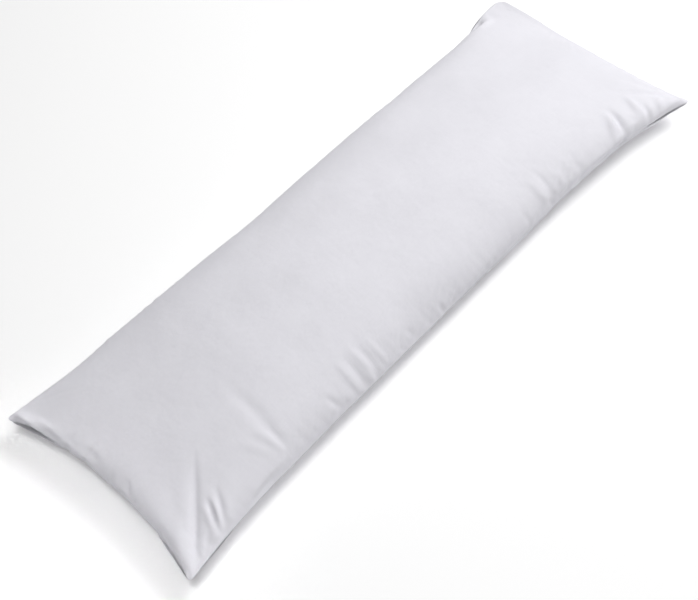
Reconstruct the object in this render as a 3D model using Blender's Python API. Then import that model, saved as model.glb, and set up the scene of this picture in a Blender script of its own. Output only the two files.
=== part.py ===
"""Body pillow: two rectangular cloth panels sewn together all round and filled.

Metres, +Z up. The pillow lies on its back on the floor, z = 0, with its length along X
and its width along Y. It is one filled solid: the upper panel crowns over the filling,
the lower panel lies flat on the floor, and the two meet at a knife-edge seam that runs
round the pillow a third of the way up. The filling draws the sides and ends in between
the corners.
"""

import math
from collections import namedtuple

import bmesh
import bpy

# Plan: corner to corner, and how far the filling draws each seam in at its middle.
HALF_LENGTH = 0.680
HALF_WIDTH = 0.245
CORNER_RADIUS = 0.016
NEAR_END_DRAW = 0.042
FAR_END_DRAW = 0.007
FAR_END_SKEW = -1.4
END_DRAW_POWER = 2.6
FRONT_SIDE_DRAW = 0.034
FRONT_SIDE_SKEW = 0.36
FRONT_DRAW_POWER = 4.8
BACK_SIDE_DRAW = 0.033
BACK_SIDE_SKEW = 0.20
BACK_DRAW_POWER = 2.6

# Section: the seam's height over the floor, and how the panels leave it.
SEAM_HEIGHT = 0.039
SEAM_END_DIP = 0.006
SEAM_DIP_POWER = 8
CROWN_RISE = 0.107
FRONT_CROSS_POWER = 0.50
BACK_CROSS_POWER = 0.58
BASE_SIDE_FALL = 0.060
BASE_POWER = 2.0

# What differs between the two ends. fall: how far in from the seam the crown is full height.
# power: how steeply it leaves the seam. loss: how much lower the crown is at the end than at
# the middle. cross_gain: how much narrower its top grows. tilt: how much it leans to the back.
# base_fall: how far in from the seam the lower panel reaches the floor.
End = namedtuple("End", "fall power loss loss_power cross_gain tilt base_fall")
NEAR_END = End(0.020, 0.31, loss=0.52, loss_power=2.3, cross_gain=0.55, tilt=-0.09, base_fall=0.050)
FAR_END = End(0.600, 0.735, loss=0, loss_power=1, cross_gain=-0.65, tilt=-0.36, base_fall=0.100)

# Puckers: the seam thread gathers both panels a little, in ripples square to the seam.
PUCKER_HEIGHT = 0.0014
PUCKER_LENGTH = 0.064
PUCKER_REACH = 0.050
PUCKER_DRIFT = 0.61
PUCKER_DRIFT_SHARE = 0.5
PUCKER_SIDE_POWER = 8
PUCKER_END_POWER = 4

# Panel grids, and how much closer together their rows lie next to the seam.
LENGTH_STEPS = 112
WIDTH_STEPS = 26
LENGTH_CROWDING = 0.45
WIDTH_CROWDING = 0.90
MERGE_DISTANCE = 1e-5

COTTON_WHITE = (0.83, 0.83, 0.86, 1.0)
COTTON_ROUGHNESS = 0.85

# The part of the crown's height at which the folds are full depth; below it they fade out.
FOLD_HOLD = 0.3

# Folds of the upper panel. x, y: the middle of the fold. heading: degrees from +X.
# height: above the smooth crown, or below it for a crease.
Fold = namedtuple("Fold", "x y heading length width height")
FOLDS = (
    # The hip that runs from the front near corner up into the crown.
    Fold(x=-0.575, y=-0.150, heading=43, length=0.250, width=0.026, height=0.0050),
    # Creases that fan from the same corner.
    Fold(x=-0.545, y=-0.198, heading=58, length=0.100, width=0.013, height=-0.0045),
    Fold(x=-0.600, y=-0.205, heading=36, length=0.080, width=0.013, height=-0.0030),
    # The long soft trough across the front flank, and the ridges on its near side.
    Fold(x=-0.387, y=-0.145, heading=88, length=0.170, width=0.015, height=-0.0055),
    Fold(x=-0.415, y=-0.170, heading=112, length=0.100, width=0.013, height=0.0035),
    Fold(x=-0.452, y=-0.165, heading=122, length=0.090, width=0.014, height=0.0025),
    # Ripples on the front flank.
    Fold(x=-0.275, y=-0.190, heading=80, length=0.070, width=0.014, height=-0.0030),
    Fold(x=-0.205, y=-0.185, heading=84, length=0.080, width=0.013, height=0.0030),
    Fold(x=-0.165, y=-0.190, heading=86, length=0.070, width=0.013, height=-0.0030),
    Fold(x=0.240, y=-0.200, heading=100, length=0.050, width=0.013, height=-0.0025),
    Fold(x=0.285, y=-0.185, heading=96, length=0.080, width=0.014, height=0.0035),
    Fold(x=0.325, y=-0.185, heading=92, length=0.080, width=0.014, height=-0.0035),
    # Creases and the ridge between them at the front far corner.
    Fold(x=0.480, y=-0.185, heading=104, length=0.070, width=0.013, height=-0.0035),
    Fold(x=0.515, y=-0.185, heading=112, length=0.090, width=0.014, height=0.0045),
    Fold(x=0.553, y=-0.185, heading=122, length=0.080, width=0.013, height=-0.0045),
    Fold(x=0.590, y=-0.170, heading=138, length=0.140, width=0.022, height=0.0040),
    # The hips of the two back corners.
    Fold(x=-0.575, y=0.150, heading=-43, length=0.220, width=0.028, height=0.0030),
    Fold(x=0.580, y=0.155, heading=43, length=0.220, width=0.028, height=0.0035),
    # Broad hollow where the filling is thinner, behind the near end.
    Fold(x=-0.440, y=0.060, heading=70, length=0.300, width=0.060, height=-0.0040),
)


def clear_scene():
    for old in list(bpy.data.objects):
        bpy.data.objects.remove(old, do_unlink=True)


def crowded(t, amount):
    """Moves a grid position, -1 to 1, towards the ends so that rows lie closer at the seam."""
    return (1 - amount) * t + amount * math.sin(math.pi / 2 * t)


def round_corner(x, y):
    """Rounds the plan's square corner to an arc, leaving everything else in place."""
    from_corner_x = max(0.0, 1 - (HALF_LENGTH - abs(x)) / CORNER_RADIUS)
    from_corner_y = max(0.0, 1 - (HALF_WIDTH - abs(y)) / CORNER_RADIUS)
    pull_x = from_corner_x * (1 - math.sqrt(1 - from_corner_y**2 / 2))
    pull_y = from_corner_y * (1 - math.sqrt(1 - from_corner_x**2 / 2))
    return (
        x - math.copysign(CORNER_RADIUS * pull_x, x),
        y - math.copysign(CORNER_RADIUS * pull_y, y),
    )


def plan(u, v):
    """Where the panel point (u, v), each -1 to 1, lies on the floor plan."""
    x, y = round_corner(u * HALF_LENGTH, v * HALF_WIDTH)
    end_draw = NEAR_END_DRAW if u < 0 else FAR_END_DRAW * (1 + FAR_END_SKEW * v)
    if v < 0:
        side_draw = FRONT_SIDE_DRAW * (1 + FRONT_SIDE_SKEW * u) * (1 - abs(u) ** FRONT_DRAW_POWER)
    else:
        side_draw = BACK_SIDE_DRAW * (1 + BACK_SIDE_SKEW * u) * (1 - abs(u) ** BACK_DRAW_POWER)
    x -= u * end_draw * (1 - abs(v) ** END_DRAW_POWER)
    y -= v * side_draw
    return x, y


def end_rise(u, end):
    """0 at the end seam, rising to 1 at the distance end.fall from it."""
    part = min(1.0, (1 - abs(u)) * HALF_LENGTH / end.fall)
    return (1 - (1 - part) ** 2) ** end.power


def seam_height(u, v):
    """The seam dips a little at the middle of each end."""
    return SEAM_HEIGHT - SEAM_END_DIP * abs(u) ** SEAM_DIP_POWER * (1 - v * v)


def crown(u, v):
    """Height of the upper panel over the seam, before its folds."""
    end = NEAR_END if u < 0 else FAR_END
    side_power = FRONT_CROSS_POWER if v < 0 else BACK_CROSS_POWER
    across = max(0.0, 1 - v * v) ** (side_power * (1 + end.cross_gain * u * u))
    along = end_rise(u, end) * (1 - end.loss * abs(u) ** end.loss_power)
    return CROWN_RISE * (1 + end.tilt * v * u * u) * across * along


def lift(from_seam, fall):
    """The part of the seam's height that the lower panel keeps at that distance in from it."""
    return max(0.0, 1 - from_seam / fall) ** BASE_POWER


def puckers(u, v, x, y):
    """Ripples square to the nearest seam, fading out from it and towards the corners."""
    from_side = (1 - abs(v)) * HALF_WIDTH
    from_end = (1 - abs(u)) * HALF_LENGTH
    turn = 2 * math.pi / PUCKER_LENGTH
    slow = PUCKER_DRIFT * turn
    side_wave = math.sin(turn * x + math.copysign(1, v)) + PUCKER_DRIFT_SHARE * math.sin(slow * x)
    end_wave = math.sin(turn * y + math.copysign(1, u)) + PUCKER_DRIFT_SHARE * math.sin(slow * y)
    side = side_wave * math.exp(-((from_side / PUCKER_REACH) ** 2)) * (1 - u**PUCKER_SIDE_POWER)
    end = end_wave * math.exp(-((from_end / PUCKER_REACH) ** 2)) * (1 - v**PUCKER_END_POWER)
    return PUCKER_HEIGHT * (side + end)


def fold_height(fold, x, y):
    """One fold: a soft ridge or crease along its heading, tapering to nothing at both tips."""
    heading = math.radians(fold.heading)
    dx, dy = x - fold.x, y - fold.y
    along = dx * math.cos(heading) + dy * math.sin(heading)
    across = dy * math.cos(heading) - dx * math.sin(heading)
    taper = max(0.0, 1 - (2 * along / fold.length) ** 2) ** 2
    return fold.height * taper * math.exp(-((across / fold.width) ** 2))


def upper_point(u, v):
    x, y = plan(u, v)
    rise = crown(u, v)
    hold = min(1.0, rise / (FOLD_HOLD * CROWN_RISE))
    folds = sum(fold_height(fold, x, y) for fold in FOLDS)
    return x, y, seam_height(u, v) + rise + puckers(u, v, x, y) + hold * folds


def lower_point(u, v):
    x, y = plan(u, v)
    end = NEAR_END if u < 0 else FAR_END
    side_lift = lift((1 - abs(v)) * HALF_WIDTH, BASE_SIDE_FALL)
    end_lift = lift((1 - abs(u)) * HALF_LENGTH, end.base_fall)
    height = (seam_height(u, v) + puckers(u, v, x, y)) * (1 - (1 - side_lift) * (1 - end_lift))
    return x, y, max(0.0, height)


def add_panel(mesh, place, faces_down):
    """A flat grid whose points are laid by place(u, v)."""
    made = bmesh.ops.create_grid(mesh, x_segments=LENGTH_STEPS, y_segments=WIDTH_STEPS, size=1)
    for vert in made["verts"]:
        vert.co = place(crowded(vert.co.x, LENGTH_CROWDING), crowded(vert.co.y, WIDTH_CROWDING))
    if faces_down:
        panel_faces = list({face for vert in made["verts"] for face in vert.link_faces})
        bmesh.ops.reverse_faces(mesh, faces=panel_faces)


def sew_rim(mesh):
    """Joins the two panels along their rims and leaves the seam a sharp edge."""
    rim = [edge for edge in mesh.edges if edge.is_boundary]
    rim_verts = list({vert for edge in rim for vert in edge.verts})
    for edge in rim:
        edge.smooth = False
    bmesh.ops.remove_doubles(mesh, verts=rim_verts, dist=MERGE_DISTANCE)


def cotton():
    material = bpy.data.materials.new("cotton")
    material.use_nodes = True
    shader = material.node_tree.nodes["Principled BSDF"]
    shader.inputs["Base Color"].default_value = COTTON_WHITE
    shader.inputs["Roughness"].default_value = COTTON_ROUGHNESS
    shader.inputs["Metallic"].default_value = 0.0
    return material


def build_pillow(collection):
    mesh = bmesh.new()
    add_panel(mesh, upper_point, faces_down=False)
    add_panel(mesh, lower_point, faces_down=True)
    for face in mesh.faces:
        face.smooth = True
    sew_rim(mesh)
    data = bpy.data.meshes.new("pillow")
    mesh.to_mesh(data)
    mesh.free()
    data.materials.append(cotton())
    pillow = bpy.data.objects.new("pillow", data)
    collection.objects.link(pillow)
    return pillow


def main():
    clear_scene()
    collection = bpy.data.collections.new("body_pillow")
    bpy.context.scene.collection.children.link(collection)
    build_pillow(collection)


main()
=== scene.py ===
"""Looks of the body pillow: its sewn, filled cotton case, lying on a pale floor.

The case is two flat panels. A cloth simulation draws their common seam in to the line that
the filling pulls it to and inflates the panels between it and the floor. The cloth is
simulated on a coarse grid first and then again on finer ones. Folds that the photograph
shows in one place are added after that.
"""

import math
from collections import namedtuple

import bpy
import numpy as np
from mathutils import Matrix, Vector, noise


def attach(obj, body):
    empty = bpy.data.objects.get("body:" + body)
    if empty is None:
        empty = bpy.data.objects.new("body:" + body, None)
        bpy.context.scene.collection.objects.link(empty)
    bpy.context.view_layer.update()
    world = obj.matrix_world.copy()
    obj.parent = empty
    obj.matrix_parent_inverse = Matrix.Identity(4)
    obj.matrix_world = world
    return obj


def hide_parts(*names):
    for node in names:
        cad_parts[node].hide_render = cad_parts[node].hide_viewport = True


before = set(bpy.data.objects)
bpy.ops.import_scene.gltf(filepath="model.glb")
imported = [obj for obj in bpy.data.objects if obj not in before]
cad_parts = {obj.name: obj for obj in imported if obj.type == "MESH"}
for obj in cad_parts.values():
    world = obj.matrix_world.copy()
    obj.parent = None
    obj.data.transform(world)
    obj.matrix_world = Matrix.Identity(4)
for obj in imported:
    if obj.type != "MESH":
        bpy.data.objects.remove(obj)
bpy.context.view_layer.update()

# ---------------------------------------------------------------- sizes, in metres
PANEL_LENGTH = 1.360
PANEL_WIDTH = 0.489
PANEL_CORNER = 0.016

# The seam's corners, and how far it is drawn in between them. u runs along the pillow from
# the near end, -1, to the far end, 1, and v across it from the front, -1, to the back, 1.
HALF_LENGTH = 0.679
HALF_WIDTH = 0.2445
NEAR_END_DRAW = 0.042
FAR_END_DRAW = 0.007
FAR_END_SKEW = -1.4
END_DRAW_POWER = 2.6
FRONT_SIDE_DRAW = 0.037
FRONT_SIDE_SKEW = 0.42
FRONT_DRAW_POWER = 6.0
BACK_SIDE_DRAW = 0.038
BACK_SIDE_SKEW = 0.40
BACK_DRAW_POWER = 2.8
BACK_NEAR_CORNER_OUT = (0.007, 0.005)
CORNER_OUT_POWER = 5
BACK_FAR_EASE = 0.014
EASE_POWER = 8
SEAM_HEIGHT = 0.044
SEAM_END_DIP = 0.006
SEAM_DIP_POWER = 8
SEAM_WAVER = 0.0016
SEAM_WAVER_UP = 0.0035
SEAM_WAVER_SIZE = 0.11
SEAM_WAVER_UP_PITCH = 0.6
SEAM_WAVER_SEEDS = (71.0, 73.0, 75.0)

# ---------------------------------------------------------------- simulation
LENGTH_CELLS = 86
WIDTH_CELLS = 32
CROWN_START = 0.067
CROWN_START_POWER = 2.3
BASE_START = 0.002
SEAM_RAMP = 20
CLOTH_GAP = 0.003
SIMULATION_FLOOR = 4.0
FLOOR_FRICTION = 5
ONE_FACE = np.array([(0, 1, 2, 3)])
Level = namedtuple("Level", "frames bending")
LEVELS = (Level(34, 3.0), Level(12, 1.0), Level(4, 0.3))
CASE_WEIGHT = 550.0
PRESSURE = 8.0
STRETCH_STIFFNESS = 40.0
SHEAR_STIFFNESS = 10.0
SUBSTEPS = 6

# ---------------------------------------------------------------- fine shape
SETTLE = 0.0012
TUCK_REACH = 0.12
FRONT_TUCK = 0.024
BACK_TUCK = 0.034
END_TUCK = 0.016
SEAM_ROWS = (0.2, 0.45, 0.7)
SEAM_ROLL_HEIGHT = 0.0012
SEAM_ROLL_WIDTH = 0.0065
DETAIL_START = 0.012
PUCKER_HEIGHT = 0.0030
PUCKER_SIZE = 0.013
PUCKER_PATCH = 0.16
PUCKER_REACH = 0.030
PUCKER_START = 0.006
PUCKER_SLANT = 0.30
PUCKER_SEED_STEP = 9
FOLD_GIVE = 0.40
FOLD_SPREAD = 2.4
UPPER_SEED = 3.0
LOWER_SEED = 41.0

Crinkle = namedtuple("Crinkle", "size height")
CRINKLES = (Crinkle(0.180, 0.0020), Crinkle(0.060, 0.0007), Crinkle(0.022, 0.00025))

# x, y: the middle of the fold on the floor plan. heading: degrees from +X.
# height: above the panel, or below it for a crease. bend: sideways bow at the tips.
Fold = namedtuple("Fold", "x y heading length width height bend")
FOLDS = (
    # Front near corner: the hip, and the creases that fan from the corner beside it.
    Fold(x=-0.615, y=-0.167, heading=43, length=0.200, width=0.016, height=0.0039, bend=0.0),
    Fold(x=-0.573, y=-0.196, heading=63, length=0.070, width=0.006, height=-0.0064, bend=0.1),
    Fold(x=-0.567, y=-0.200, heading=60, length=0.060, width=0.005, height=0.0048, bend=0.1),
    Fold(x=-0.557, y=-0.199, heading=56, length=0.085, width=0.006, height=-0.0060, bend=0.1),
    Fold(x=-0.583, y=-0.200, heading=61, length=0.060, width=0.007, height=0.0040, bend=0.0),
    # The trough across the front flank, and the ridges on its two sides.
    Fold(x=-0.402, y=-0.134, heading=87, length=0.180, width=0.013, height=-0.0027, bend=0.1),
    Fold(x=-0.406, y=-0.181, heading=90, length=0.070, width=0.007, height=-0.0017, bend=0.0),
    Fold(x=-0.417, y=-0.179, heading=109, length=0.080, width=0.008, height=0.0020, bend=0.1),
    Fold(x=-0.445, y=-0.172, heading=120, length=0.085, width=0.009, height=0.0014, bend=0.1),
    # Ripples of the front flank, at its near third.
    Fold(x=-0.289, y=-0.202, heading=126, length=0.050, width=0.006, height=-0.0029, bend=0.0),
    Fold(x=-0.239, y=-0.189, heading=95, length=0.070, width=0.006, height=0.0019, bend=0.0),
    Fold(x=-0.222, y=-0.190, heading=96, length=0.075, width=0.006, height=-0.0021, bend=0.0),
    Fold(x=-0.203, y=-0.188, heading=96, length=0.075, width=0.006, height=0.0021, bend=0.0),
    Fold(x=-0.188, y=-0.192, heading=97, length=0.070, width=0.006, height=-0.0019, bend=0.0),
    Fold(x=-0.167, y=-0.192, heading=98, length=0.060, width=0.006, height=0.0018, bend=0.0),
    # Ripples of the front flank, past its middle.
    Fold(x=0.232, y=-0.203, heading=116, length=0.045, width=0.006, height=-0.0015, bend=0.0),
    Fold(x=0.283, y=-0.185, heading=100, length=0.075, width=0.008, height=0.0022, bend=0.1),
    Fold(x=0.304, y=-0.180, heading=94, length=0.080, width=0.007, height=-0.0020, bend=0.1),
    Fold(x=0.334, y=-0.191, heading=103, length=0.070, width=0.008, height=0.0014, bend=0.0),
    Fold(x=0.383, y=-0.194, heading=99, length=0.055, width=0.007, height=-0.0015, bend=0.0),
    # Front far corner.
    Fold(x=0.501, y=-0.185, heading=48, length=0.070, width=0.008, height=0.0053, bend=0.0),
    Fold(x=0.518, y=-0.185, heading=76, length=0.080, width=0.008, height=-0.0083, bend=0.1),
    Fold(x=0.575, y=-0.178, heading=71, length=0.065, width=0.008, height=0.0059, bend=0.0),
    Fold(x=0.584, y=-0.204, heading=61, length=0.050, width=0.006, height=-0.0064, bend=0.0),
    Fold(x=0.621, y=-0.207, heading=51, length=0.045, width=0.008, height=0.0044, bend=0.0),
    # Small creases square to the near end's seam.
    Fold(x=-0.648, y=0.106, heading=2, length=0.055, width=0.006, height=-0.0033, bend=0.0),
    Fold(x=-0.641, y=0.058, heading=-3, length=0.060, width=0.006, height=-0.0033, bend=0.0),
    Fold(x=-0.650, y=-0.010, heading=4, length=0.050, width=0.006, height=-0.0029, bend=0.0),
)

# ---------------------------------------------------------------- cotton
LOWER_PANEL_OFFSET = 0.6
THREAD_PITCH = 0.0006
THREAD_DEPTH = 0.00010
CROWNING = 0.4
WEAVE_STRENGTH = 0.35
YARN_ACROSS = 900.0
YARN_ALONG = 25.0
YARN_DEPTH = 0.00006
YARN_TONE = 0.25
PATCH_SCALE = 9.0
PATCH_TONE = 0.5
PATCH_DETAIL = 3.0
TONE_LOW, TONE_HIGH = 0.35, 0.65
CREASE_SCALE = 70.0
CREASE_DEPTH = 0.0006
CREASE_DETAIL = 4.0
STITCH_LENGTH = 0.0032
STITCH_REACH = 0.0022
STITCH_DEPTH = 0.0006
COTTON_SHADE = (0.785, 0.777, 0.825, 1.0)
COTTON_LIGHT = (0.835, 0.827, 0.877, 1.0)
# Painted shade: the colour the cloth darkens to along the seam, where the groove between the two
# panels lies in shade, and how far it darkens.
SEAM_PAINTED_SHADE = (0.62, 0.62, 0.66, 1.0)
SEAM_PAINTED_SHADE_AMOUNT = 0.6
ROUGH_GAPS, ROUGH_THREADS = 0.92, 0.82
COTTON_GLOSS = 0.25
SHEEN = 0.2
SHEEN_ROUGHNESS = 0.45
SHEEN_TINT = (0.95, 0.95, 1.0, 1.0)

# ---------------------------------------------------------------- studio
FLOOR_SIZE = 6.0
FLOOR_DROP = 0.0005
WHITE = (1.0, 1.0, 1.0, 1.0)
FLOOR_ROUGHNESS = 0.9
FLOOR_GLOW = 0.09
SKY_STRENGTH = 0.04
# spread: the angle that a box's grid lets through, in degrees; 180 is a box with no grid.
Softbox = namedtuple("Softbox", "name x y z aim_x aim_y size spread power")
SOFTBOXES = (
    Softbox("far_end", 4.0, 0.0, 3.6, 0.0, 0.0, 2.4, 180, 192.0),
    Softbox("overhead", -1.2, -0.6, 5.0, 0.0, 0.0, 2.4, 180, 102.0),
    Softbox("front", 0.8, -3.0, 4.6, 0.0, 0.0, 2.4, 180, 42.0),
    Softbox("near_floor", -1.15, -0.05, 4.0, -1.15, -0.05, 0.6, 12, 1.3),
)

# ---------------------------------------------------------------- camera
IMAGE_WIDTH = 698
SENSOR_WIDTH = 36.0
CAMERA_AZIMUTH = -36.63
CAMERA_ELEVATION = 53.29
CAMERA_ROLL = -11.55
CAMERA_DISTANCE = 2.682
CAMERA_RIGHT = -0.0508
CAMERA_UP = -0.0577
FOCAL_PIXELS = 1405.3


def grid_square(length_cells, width_cells):
    """Grid positions (u, v), each -1 to 1, as two arrays."""
    u, v = np.meshgrid(
        np.linspace(-1, 1, length_cells + 1), np.linspace(-1, 1, width_cells + 1), indexing="ij"
    )
    return u, v


def rounded_rectangle(u, v, half_length, half_width, radius):
    """The grid laid on a rectangle whose corners are rounded to that radius."""
    x, y = u * half_length, v * half_width
    p = np.clip(1 - (half_length - abs(x)) / radius, 0, 1)
    q = np.clip(1 - (half_width - abs(y)) / radius, 0, 1)
    x = x - np.sign(x) * radius * p * (1 - np.sqrt(1 - q * q / 2))
    y = y - np.sign(y) * radius * q * (1 - np.sqrt(1 - p * p / 2))
    return x, y


def noise_field(flat, scale, seed):
    """Smooth noise over the flat panel, about -1 to 1."""
    points = flat.reshape(-1, 2) * scale
    values = [noise.noise(Vector((x, y, seed))) for x, y in points.tolist()]
    return np.array(values).reshape(flat.shape[:2])


def drawn_in(u, v):
    """Where the grid's points lie once the seam is drawn in. Only its rim is used."""
    x, y = rounded_rectangle(u, v, HALF_LENGTH, HALF_WIDTH, PANEL_CORNER)
    end_draw = np.where(u < 0, NEAR_END_DRAW, FAR_END_DRAW * (1 + FAR_END_SKEW * v))
    front_draw = FRONT_SIDE_DRAW * (1 + FRONT_SIDE_SKEW * u) * (1 - abs(u) ** FRONT_DRAW_POWER)
    back_draw = BACK_SIDE_DRAW * (1 + BACK_SIDE_SKEW * u) * (1 - abs(u) ** BACK_DRAW_POWER)
    at_far_end = np.maximum(0, u) ** EASE_POWER
    back_draw = back_draw - BACK_FAR_EASE * 4 * at_far_end * (1 - at_far_end)
    x = x - u * end_draw * (1 - abs(v) ** END_DRAW_POWER)
    y = y - v * np.where(v < 0, front_draw, back_draw)
    out = (np.maximum(0, -u) * np.maximum(0, v)) ** CORNER_OUT_POWER
    x = x - BACK_NEAR_CORNER_OUT[0] * out
    y = y + BACK_NEAR_CORNER_OUT[1] * out
    z = SEAM_HEIGHT - SEAM_END_DIP * abs(u) ** SEAM_DIP_POWER * (1 - v * v)
    places = np.stack([x, y], -1)
    seed_x, seed_y, seed_z = SEAM_WAVER_SEEDS
    x = x + SEAM_WAVER * noise_field(places, 1 / SEAM_WAVER_SIZE, seed_x)
    y = y + SEAM_WAVER * noise_field(places, 1 / SEAM_WAVER_SIZE, seed_y)
    z = z + SEAM_WAVER_UP * noise_field(places, SEAM_WAVER_UP_PITCH / SEAM_WAVER_SIZE, seed_z)
    return np.stack([x, y, z], -1)


def panel_indices(length_cells, width_cells):
    """Vertex numbers of the upper and the lower panel, which share their rim."""
    count = (length_cells + 1) * (width_cells + 1)
    upper = np.arange(count).reshape(length_cells + 1, width_cells + 1)
    lower = upper.copy()
    inner = (length_cells - 1) * (width_cells - 1)
    lower[1:-1, 1:-1] = count + np.arange(inner).reshape(length_cells - 1, width_cells - 1)
    return upper, lower


def case_faces(upper, lower):
    top = np.stack([upper[:-1, :-1], upper[1:, :-1], upper[1:, 1:], upper[:-1, 1:]], -1)
    base = np.stack([lower[:-1, :-1], lower[:-1, 1:], lower[1:, 1:], lower[1:, :-1]], -1)
    return np.vstack([top.reshape(-1, 4), base.reshape(-1, 4)])


def case_points(top, base):
    return np.vstack([top.reshape(-1, 3), base[1:-1, 1:-1].reshape(-1, 3)])


def rim_of(upper):
    return np.unique(np.concatenate([upper[0], upper[-1], upper[:, 0], upper[:, -1]]))


def doubled_rows(points):
    """Twice as many rows, on a smooth curve through the ones there are."""
    before = 2 * points[:1] - points[1:2]
    after = 2 * points[-1:] - points[-2:-1]
    padded = np.concatenate([before, points, after])
    rows = np.empty((2 * points.shape[0] - 1,) + points.shape[1:])
    rows[::2] = points
    rows[1::2] = (9 * (padded[1:-2] + padded[2:-1]) - padded[:-3] - padded[3:]) / 16
    return rows


def doubled_grid(points):
    return doubled_rows(doubled_rows(points).swapaxes(0, 1)).swapaxes(0, 1)


def new_object(name, points, faces):
    data = bpy.data.meshes.new(name)
    data.from_pydata(points.tolist(), [], faces.tolist())
    data.update()
    obj = bpy.data.objects.new(name, data)
    bpy.context.scene.collection.objects.link(obj)
    return obj


def evaluated_points(obj):
    mesh = obj.evaluated_get(bpy.context.evaluated_depsgraph_get()).data
    points = np.empty(len(mesh.vertices) * 3, np.float32)
    mesh.vertices.foreach_get("co", points)
    return points.reshape(-1, 3).astype(float)


def square(half, z):
    return np.array([(-half, -half, z), (half, -half, z), (half, half, z), (-half, half, z)])


def simulation_floor():
    floor = new_object("simulation_floor", square(SIMULATION_FLOOR / 2, 0.0), ONE_FACE)
    floor.modifiers.new("collide", "COLLISION")
    floor.collision.thickness_outer = CLOTH_GAP
    floor.collision.cloth_friction = FLOOR_FRICTION
    return floor


def simulate(top, base, level, drawing_in):
    """Inflates the case for one level and returns its two panels."""
    length_cells, width_cells = top.shape[0] - 1, top.shape[1] - 1
    upper, lower = panel_indices(length_cells, width_cells)
    rim = rim_of(upper)
    points = case_points(top, base)
    target = drawn_in(*grid_square(length_cells, width_cells)).reshape(-1, 3)
    drawn = points.copy()
    drawn[rim] = target[rim]
    if not drawing_in:
        points = drawn
    case = new_object("case", points, case_faces(upper, lower))
    held = case.vertex_groups.new(name="held")
    held.add(rim.tolist(), 1.0, "REPLACE")
    if drawing_in:
        case.shape_key_add(name="Basis")
        key = case.shape_key_add(name="drawn")
        key.data.foreach_set("co", drawn.ravel())
        key.value = 0
        key.keyframe_insert("value", frame=1)
        key.value = 1
        key.keyframe_insert("value", frame=SEAM_RAMP + 1)
    cloth = case.modifiers.new("cloth", "CLOTH")
    settings = cloth.settings
    settings.quality = SUBSTEPS
    settings.mass = CASE_WEIGHT / len(points)
    settings.tension_stiffness = STRETCH_STIFFNESS
    settings.compression_stiffness = STRETCH_STIFFNESS
    settings.shear_stiffness = SHEAR_STIFFNESS
    settings.bending_stiffness = level.bending
    settings.use_pressure = True
    settings.uniform_pressure_force = PRESSURE
    settings.vertex_group_mass = "held"
    settings.pin_stiffness = 1.0
    cloth.collision_settings.distance_min = CLOTH_GAP
    cloth.collision_settings.use_self_collision = False
    cloth.point_cache.frame_start = 1
    cloth.point_cache.frame_end = level.frames
    scene = bpy.context.scene
    scene.frame_start = 1
    scene.frame_end = level.frames
    for step in range(1, level.frames + 1):
        scene.frame_set(step)
    found = evaluated_points(case)
    bpy.data.objects.remove(case, do_unlink=True)
    return found[upper], found[lower]


def inflate():
    """Simulates the case, coarse grid first, and returns its two panels.

    The lower panel starts flat and the upper one as a low arch, so it is cut fuller.
    """
    u, v = grid_square(LENGTH_CELLS, WIDTH_CELLS)
    x, y = rounded_rectangle(u, v, PANEL_LENGTH / 2, PANEL_WIDTH / 2, PANEL_CORNER)
    crown = CROWN_START * (1 - abs(u) ** CROWN_START_POWER) * (1 - v * v)
    hollow = BASE_START * (1 - u**4) * (1 - v * v)
    top = np.stack([x, y, SEAM_HEIGHT + crown], -1)
    base = np.stack([x, y, SEAM_HEIGHT - hollow], -1)
    floor = simulation_floor()
    for number, level in enumerate(LEVELS):
        if number:
            top, base = doubled_grid(top), doubled_grid(base)
        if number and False:
            continue
        top, base = simulate(top, base, level, drawing_in=number == 0)
    bpy.data.objects.remove(floor, do_unlink=True)
    return top, tucked(base)


def tucked(base):
    """Draws the lower panel in under the seam, where the weight of the filling leaves it slack."""
    u, v = grid_square(base.shape[0] - 1, base.shape[1] - 1)
    from_side = np.clip((1 - abs(v)) * PANEL_WIDTH / 2 / TUCK_REACH, 0, 1)
    from_end = np.clip((1 - abs(u)) * PANEL_LENGTH / 2 / TUCK_REACH, 0, 1)
    base = base.copy()
    base[..., 0] -= np.sign(u) * END_TUCK * np.sin(math.pi * from_end)
    base[..., 1] -= np.where(v < 0, -FRONT_TUCK, BACK_TUCK) * np.sin(math.pi * from_side)
    return base


def row_positions(cells):
    """Grid rows, in cells, with extra ones close to the seam at both ends."""
    near = np.array(SEAM_ROWS)
    return np.concatenate([[0.0], near, np.arange(1, cells), cells - near[::-1], [cells]])


def at_rows(points, rows):
    low = np.minimum(rows.astype(int), points.shape[0] - 2)
    part = (rows - low).reshape((-1,) + (1,) * (points.ndim - 1))
    return points[low] * (1 - part) + points[low + 1] * part


def with_seam_rows(points):
    along = at_rows(points, row_positions(points.shape[0] - 1))
    return at_rows(along.swapaxes(0, 1), row_positions(points.shape[1] - 1)).swapaxes(0, 1)


def outward_normals(panel, facing):
    normal = np.cross(np.gradient(panel, axis=0), np.gradient(panel, axis=1)) * facing
    return normal / np.maximum(np.linalg.norm(normal, axis=-1, keepdims=True), 1e-12)


def fold_height(fold, x, y):
    """One fold: a ridge or crease along its heading, with the cloth beside it giving a little."""
    heading = math.radians(fold.heading)
    dx, dy = x - fold.x, y - fold.y
    along = dx * math.cos(heading) + dy * math.sin(heading)
    across = dy * math.cos(heading) - dx * math.sin(heading)
    bend = fold.bend * along * along / fold.length
    distance = (across - bend) / fold.width
    taper = np.clip(1 - (2 * along / fold.length) ** 2, 0, 1) ** 2
    profile = np.exp(-(distance**2)) - FOLD_GIVE * np.exp(-((distance / FOLD_SPREAD) ** 2))
    return fold.height * taper * profile


def seam_distance(flat):
    """Distance from each point of the flat panel to its nearest edge."""
    return np.minimum(PANEL_LENGTH / 2 - abs(flat[..., 0]), PANEL_WIDTH / 2 - abs(flat[..., 1]))


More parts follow.
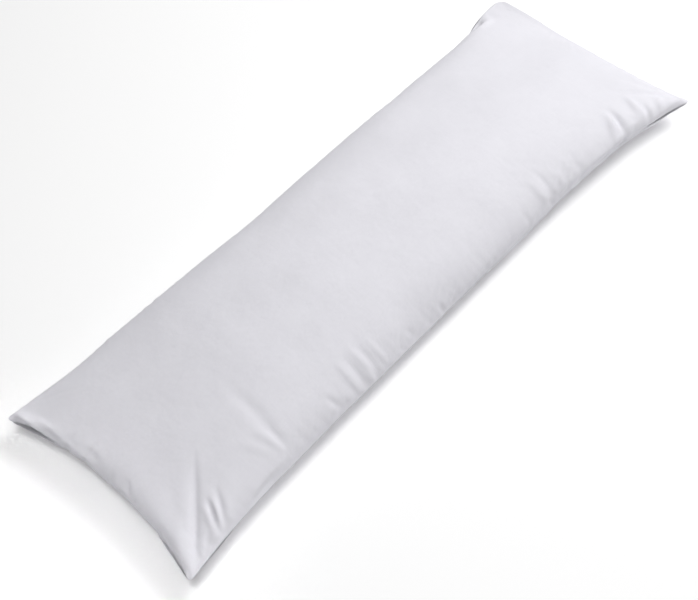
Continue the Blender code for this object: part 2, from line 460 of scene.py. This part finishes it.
def crinkle(flat, seed):
    """Slight unevenness of filled cotton, at a few sizes."""
    height = 0
    for number, row in enumerate(CRINKLES):
        height = height + row.height * noise_field(flat, 1 / row.size, seed + number)
    return height


def seam_roll(distance):
    """The cloth turns in at the seam, so a small roll runs along each side of it."""
    return SEAM_ROLL_HEIGHT * np.sin(math.pi * np.clip(distance / SEAM_ROLL_WIDTH, 0, 1))


def puckers(flat, distance, seed):
    """Short gathers square to the seam, uneven along it, which fade out from it."""
    x, y = flat[..., 0], flat[..., 1]
    from_side = PANEL_WIDTH / 2 - abs(y)
    from_end = PANEL_LENGTH / 2 - abs(x)
    along = np.where(from_side < from_end, x, y)
    line = np.stack([along + PUCKER_SLANT * distance, np.sign(y) + 2 * np.sign(x) + 0 * y], -1)
    fine = noise_field(line, 1 / PUCKER_SIZE, seed)
    strength = np.clip(0.5 + noise_field(line, 1 / PUCKER_PATCH, seed + PUCKER_SEED_STEP), 0, 1)
    fade = np.exp(-((distance / PUCKER_REACH) ** 2)) * np.clip(distance / PUCKER_START, 0, 1)
    return PUCKER_HEIGHT * fine * strength * fade


def detail(panel, flat, facing, folds, seed):
    """Adds folds, crinkle, puckers and the seam's roll along the panel's normals."""
    distance = seam_distance(flat)
    inside = np.clip(distance / DETAIL_START, 0, 1)
    height = crinkle(flat, seed) * inside + puckers(flat, distance, seed) + seam_roll(distance)
    for fold in folds:
        height = height + fold_height(fold, panel[..., 0], panel[..., 1]) * inside
    rim = distance <= 1e-9
    height = np.where(rim, 0, height)
    return panel + outward_normals(panel, facing) * height[..., None]


def build_cover():
    top, base = inflate()
    top, base = with_seam_rows(top), with_seam_rows(base)
    cells = (top.shape[0] - 1, top.shape[1] - 1)
    flat_cells = (LENGTH_CELLS * 2 ** (len(LEVELS) - 1), WIDTH_CELLS * 2 ** (len(LEVELS) - 1))
    u, v = grid_square(*flat_cells)
    flat = np.stack(rounded_rectangle(u, v, PANEL_LENGTH / 2, PANEL_WIDTH / 2, PANEL_CORNER), -1)
    flat = with_seam_rows(flat)
    top = detail(top, flat, 1, FOLDS, UPPER_SEED)
    base = detail(base, flat, -1, (), LOWER_SEED)
    upper, lower = panel_indices(*cells)
    points = case_points(top, base)
    points[:, 2] -= base[..., 2].min() + SETTLE
    points[:, 2] = np.maximum(points[:, 2], 0)
    cover = new_object("pillow_cover", points, case_faces(upper, lower))
    cover.data.shade_smooth()
    lay_flat_uvs(cover.data, flat, upper, lower)
    return cover


def lay_flat_uvs(mesh, flat, upper, lower):
    """UVs in metres on the flat panels, the lower panel beside the upper one."""
    origin = np.array([PANEL_LENGTH / 2, PANEL_WIDTH / 2])
    upper_uv = (flat + origin).reshape(-1, 2)
    lower_uv = upper_uv + np.array([0, LOWER_PANEL_OFFSET])
    corner = np.empty(len(mesh.loops), np.int32)
    mesh.loops.foreach_get("vertex_index", corner)
    grid_of = np.zeros(len(mesh.vertices), int)
    grid_of[lower.ravel()] = np.arange(lower.size)
    grid_of[upper.ravel()] = np.arange(upper.size)
    place = grid_of[corner]
    half = len(corner) // 2
    uv = np.vstack([upper_uv[place[:half]], lower_uv[place[half:]]])
    layer = mesh.uv_layers.new(name="flat_cloth")
    layer.data.foreach_set("uv", uv.astype(np.float32).ravel())


# ---------------------------------------------------------------- materials


class Nodes:
    """A few words for building a material from nodes."""

    def __init__(self, name):
        self.material = bpy.data.materials.new(name)
        self.material.use_nodes = True
        self.tree = self.material.node_tree
        self.shader = self.tree.nodes["Principled BSDF"]

    def add(self, kind, **values):
        node = self.tree.nodes.new(kind)
        for name, value in values.items():
            setattr(node, name, value)
        return node

    def plug(self, socket, value):
        if isinstance(value, (int, float, tuple)):
            socket.default_value = value
        else:
            self.tree.links.new(value, socket)

    def math(self, operation, *values):
        node = self.add("ShaderNodeMath", operation=operation)
        for socket, value in zip(node.inputs, values):
            self.plug(socket, value)
        return node.outputs[0]

    def noise(self, vector, scale, detail=2.0):
        node = self.add("ShaderNodeTexNoise")
        self.plug(node.inputs["Vector"], vector)
        self.plug(node.inputs["Scale"], scale)
        self.plug(node.inputs["Detail"], detail)
        return node.outputs["Fac"]

    def vector(self, x, y, z=0.0):
        node = self.add("ShaderNodeCombineXYZ")
        for socket, value in zip(node.inputs, (x, y, z)):
            self.plug(socket, value)
        return node.outputs[0]

    def mix(self, factor, low, high):
        node = self.add("ShaderNodeMix", data_type="RGBA")
        self.plug(node.inputs["Factor"], factor)
        self.plug(node.inputs["A"], low)
        self.plug(node.inputs["B"], high)
        return node.outputs["Result"]

    def bump(self, height, distance, strength, normal=None):
        node = self.add("ShaderNodeBump")
        self.plug(node.inputs["Height"], height)
        self.plug(node.inputs["Distance"], distance)
        self.plug(node.inputs["Strength"], strength)
        if normal is not None:
            self.plug(node.inputs["Normal"], normal)
        return node.outputs["Normal"]

    def range(self, value, low, high, to_low, to_high):
        node = self.add("ShaderNodeMapRange")
        limits = {"From Min": low, "From Max": high, "To Min": to_low, "To Max": to_high}
        for name, number in limits.items():
            node.inputs[name].default_value = number
        self.plug(node.inputs["Value"], value)
        return node.outputs["Result"]


def cotton_material():
    """Plain-woven white cotton, stitched where the two panels meet, with painted shade along the
    seam.
    """
    n = Nodes("white_cotton")
    uv = n.add("ShaderNodeUVMap", uv_map="flat_cloth").outputs["UV"]
    split = n.add("ShaderNodeSeparateXYZ")
    n.plug(split.inputs[0], uv)
    along, across = split.outputs[0], n.math("MODULO", split.outputs[1], LOWER_PANEL_OFFSET)

    def threads(direction):
        """Round threads side by side, from 0 in the gap to 1 on the thread."""
        phase = n.math("MULTIPLY", direction, math.pi / THREAD_PITCH)
        return n.math("ABSOLUTE", n.math("SINE", phase))

    def on_top(thread, crossing):
        """A thread bows a little where it passes over the one that crosses it."""
        return n.math("MULTIPLY", thread, n.math("MULTIPLY_ADD", crossing, CROWNING, 1 - CROWNING))

    warp, weft = threads(along), threads(across)
    column = n.math("FLOOR", n.math("DIVIDE", along, THREAD_PITCH))
    row = n.math("FLOOR", n.math("DIVIDE", across, THREAD_PITCH))
    over = n.math("MODULO", n.math("ADD", column, row), 2.0)
    warp_over, weft_over = on_top(warp, weft), on_top(weft, warp)
    gap = n.math("SUBTRACT", weft_over, warp_over)
    weave = n.math("MULTIPLY_ADD", gap, over, warp_over)

    def slubs(scale_along, scale_across):
        """Thick and thin places, drawn out along one set of yarns."""
        x = n.math("MULTIPLY", along, scale_along)
        y = n.math("MULTIPLY", across, scale_across)
        return n.noise(n.vector(x, y), 1.0)

    yarn = n.math("ADD", slubs(YARN_ACROSS, YARN_ALONG), slubs(YARN_ALONG, YARN_ACROSS))

    end = n.math("MINIMUM", along, n.math("SUBTRACT", PANEL_LENGTH, along))
    side = n.math("MINIMUM", across, n.math("SUBTRACT", PANEL_WIDTH, across))
    from_seam = n.math("MINIMUM", end, side)
    near_seam = n.range(from_seam, 0.0, STITCH_REACH, 1.0, 0.0)
    around = n.math("ADD", along, across)
    beat = n.math("SINE", n.math("MULTIPLY", around, 2 * math.pi / STITCH_LENGTH))
    stitch = n.math("MULTIPLY", n.math("MULTIPLY_ADD", beat, 0.5, 0.5), near_seam)

    patches = n.noise(uv, PATCH_SCALE, PATCH_DETAIL)
    yarn_tone = n.math("MULTIPLY", yarn, YARN_TONE)
    tone = n.math("ADD", yarn_tone, n.math("MULTIPLY", patches, PATCH_TONE))
    cloth = n.mix(n.range(tone, TONE_LOW, TONE_HIGH, 0.0, 1.0), COTTON_SHADE, COTTON_LIGHT)
    # Painted shade along the seam: the base colour darkens within the stitches' reach of the
    # panel's edge, where the groove lies in shade.
    painted_seam_shade = n.math("MULTIPLY", near_seam, SEAM_PAINTED_SHADE_AMOUNT)
    n.plug(n.shader.inputs["Base Color"], n.mix(painted_seam_shade, cloth, SEAM_PAINTED_SHADE))

    creases = n.noise(uv, CREASE_SCALE, CREASE_DETAIL)
    soft = n.bump(creases, CREASE_DEPTH, 1.0)
    sewn = n.bump(stitch, STITCH_DEPTH, 1.0, soft)
    yarns = n.bump(yarn, YARN_DEPTH, 1.0, sewn)
    n.plug(n.shader.inputs["Normal"], n.bump(weave, THREAD_DEPTH, WEAVE_STRENGTH, yarns))

    n.plug(n.shader.inputs["Roughness"], n.range(weave, 0.0, 1.0, ROUGH_GAPS, ROUGH_THREADS))
    n.shader.inputs["Sheen Weight"].default_value = SHEEN
    n.shader.inputs["Sheen Roughness"].default_value = SHEEN_ROUGHNESS
    n.shader.inputs["Sheen Tint"].default_value = SHEEN_TINT
    n.shader.inputs["Specular IOR Level"].default_value = COTTON_GLOSS
    return n.material


def studio_floor():
    floor = new_object("studio_floor", square(FLOOR_SIZE / 2, -FLOOR_DROP), ONE_FACE)
    n = Nodes("studio_floor")
    n.shader.inputs["Base Color"].default_value = WHITE
    n.shader.inputs["Roughness"].default_value = FLOOR_ROUGHNESS
    n.shader.inputs["Specular IOR Level"].default_value = 0.0
    n.shader.inputs["Emission Color"].default_value = WHITE
    n.shader.inputs["Emission Strength"].default_value = FLOOR_GLOW
    floor.data.materials.append(n.material)
    return floor


def studio_light():
    for box in SOFTBOXES:
        lamp = bpy.data.lights.new(box.name, "AREA")
        lamp.energy = box.power
        lamp.size = box.size
        lamp.spread = math.radians(box.spread)
        light = bpy.data.objects.new(box.name, lamp)
        light.location = (box.x, box.y, box.z)
        beam = Vector((box.aim_x, box.aim_y, 0)) - light.location
        light.rotation_euler = beam.to_track_quat("-Z", "Y").to_euler()
        bpy.context.scene.collection.objects.link(light)
    world = bpy.data.worlds.new("sky")
    world.use_nodes = True
    sky = world.node_tree.nodes["Background"]
    sky.inputs["Color"].default_value = WHITE
    sky.inputs["Strength"].default_value = SKY_STRENGTH
    bpy.context.scene.world = world


def photo_camera():
    azimuth, elevation = math.radians(CAMERA_AZIMUTH), math.radians(CAMERA_ELEVATION)
    roll = math.radians(CAMERA_ROLL)
    level = math.cos(elevation)
    back = Vector((math.sin(azimuth) * level, -math.cos(azimuth) * level, math.sin(elevation)))
    right = Vector((math.cos(azimuth), math.sin(azimuth), 0))
    up = back.cross(right)
    place = back * CAMERA_DISTANCE + right * CAMERA_RIGHT + up * CAMERA_UP
    turned_right = right * math.cos(roll) + up * math.sin(roll)
    turned_up = up * math.cos(roll) - right * math.sin(roll)
    data = bpy.data.cameras.new("photo_camera")
    data.sensor_width = SENSOR_WIDTH
    data.lens = FOCAL_PIXELS / IMAGE_WIDTH * SENSOR_WIDTH
    camera = bpy.data.objects.new("photo_camera", data)
    axes = Matrix((turned_right, turned_up, back)).transposed()
    camera.matrix_world = Matrix.Translation(place) @ axes.to_4x4()
    bpy.context.scene.collection.objects.link(camera)
    bpy.context.scene.camera = camera


photo_camera()
studio_light()
cover = build_cover()
cover.data.materials.append(cotton_material())
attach(cover, "root")
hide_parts("pillow")
studio_floor()
bpy.context.scene.view_settings.view_transform = "Standard"
